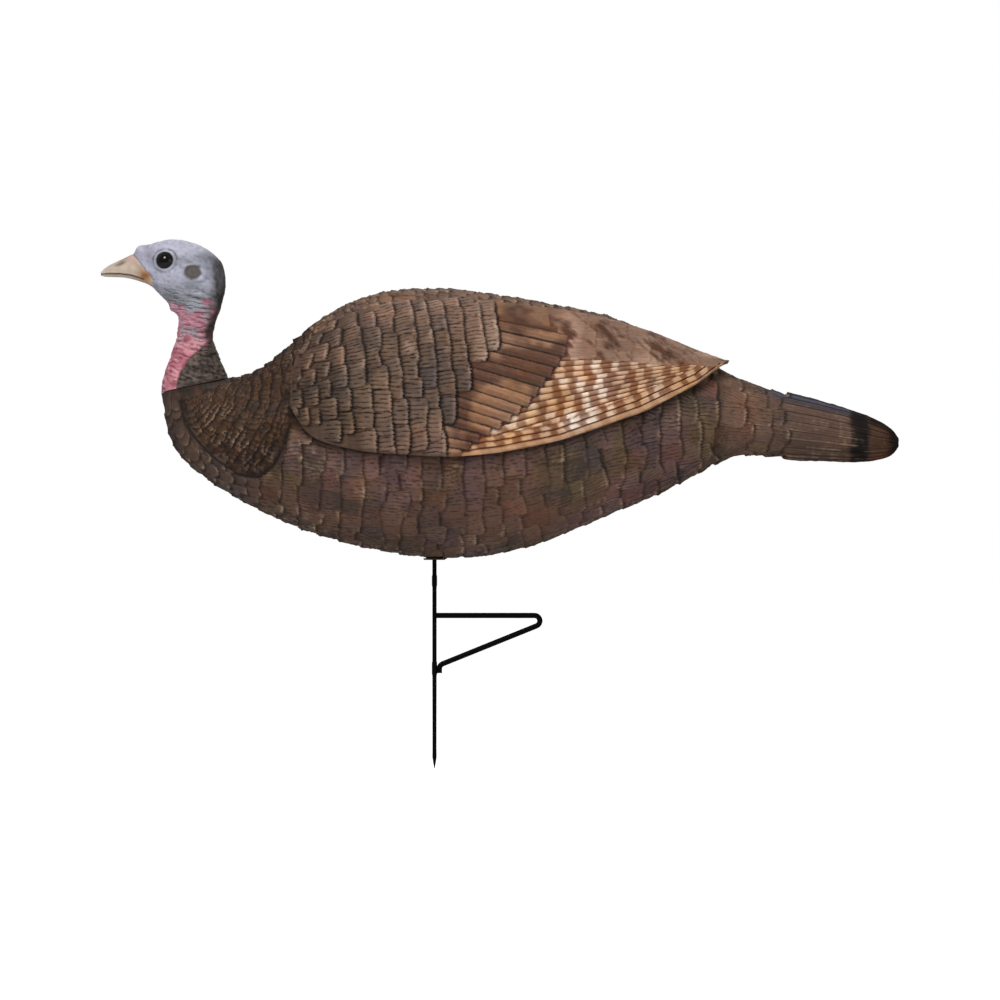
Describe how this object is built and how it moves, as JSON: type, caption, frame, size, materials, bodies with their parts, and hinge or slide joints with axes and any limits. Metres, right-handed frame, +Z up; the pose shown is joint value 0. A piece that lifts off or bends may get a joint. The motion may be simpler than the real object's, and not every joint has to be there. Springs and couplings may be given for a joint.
{
  "type": "turkey decoy",
  "caption": "Life-size hen turkey decoy with a turning, removable head, folded moulded wings and a step-in ground stake with a triangular foot bar.",
  "frame": {"origin": "on the stake's axis at the top of the bare ground spike, where the foot bar's lower weld ends; the ground comes a little below or up to the foot bar when it is pushed in", "axes": "+Z up along the stake, the beak points to -X and the tail to +X, the bird's left side faces -Y"},
  "size_m": [0.7372, 0.2232, 0.4888],
  "materials": {
    "stake_paint": "satin black paint",
    "cap_plastic": "matt",
    "body_paint": "matt painted feathers",
    "wing_paint": "matt painted feathers",
    "black_rubber": "matt",
    "tube_plastic": "satin",
    "dark_plastic": "matt",
    "head_paint": "matt painted skin",
    "eye_gloss": "gloss"
  },
  "bodies": {
    "stake": {"ground_stake": "stake_paint", "foot_bar": "stake_paint"},
    "cap": {"stake_cap": "cap_plastic"},
    "decoy": {"body_shell": "body_paint", "left_wing": "wing_paint", "right_wing": "wing_paint", "belly_grommet": "black_rubber", "stake_tube": "tube_plastic", "back_cup": "dark_plastic", "neck_collar": "dark_plastic"},
    "grip": {"grip_ring": "black_rubber"},
    "head": {"head_shell": "head_paint", "neck_spigot": "dark_plastic", "left_eye": "eye_gloss", "right_eye": "eye_gloss"}
  },
  "joints": [
    {"name": "decoy_turn", "type": "hinge", "parent": "stake", "child": "cap", "pos_m": [0, 0, 0.32], "axis": [0, 0, 1], "continuous": true},
    {"name": "decoy_lift", "type": "slide", "parent": "cap", "child": "decoy", "axis": [0, 0, 1], "range_m": [0, 0.24]},
    {"name": "head_turn", "type": "hinge", "parent": "decoy", "child": "grip", "pos_m": [-0.2217, 0, 0.26825], "axis": [-0.2045, 0, 0.9789], "range_deg": [-40, 40]},
    {"name": "head_pull", "type": "slide", "parent": "grip", "child": "head", "axis": [-0.2045, 0, 0.9789], "range_m": [0, 0.045]}
  ]
}
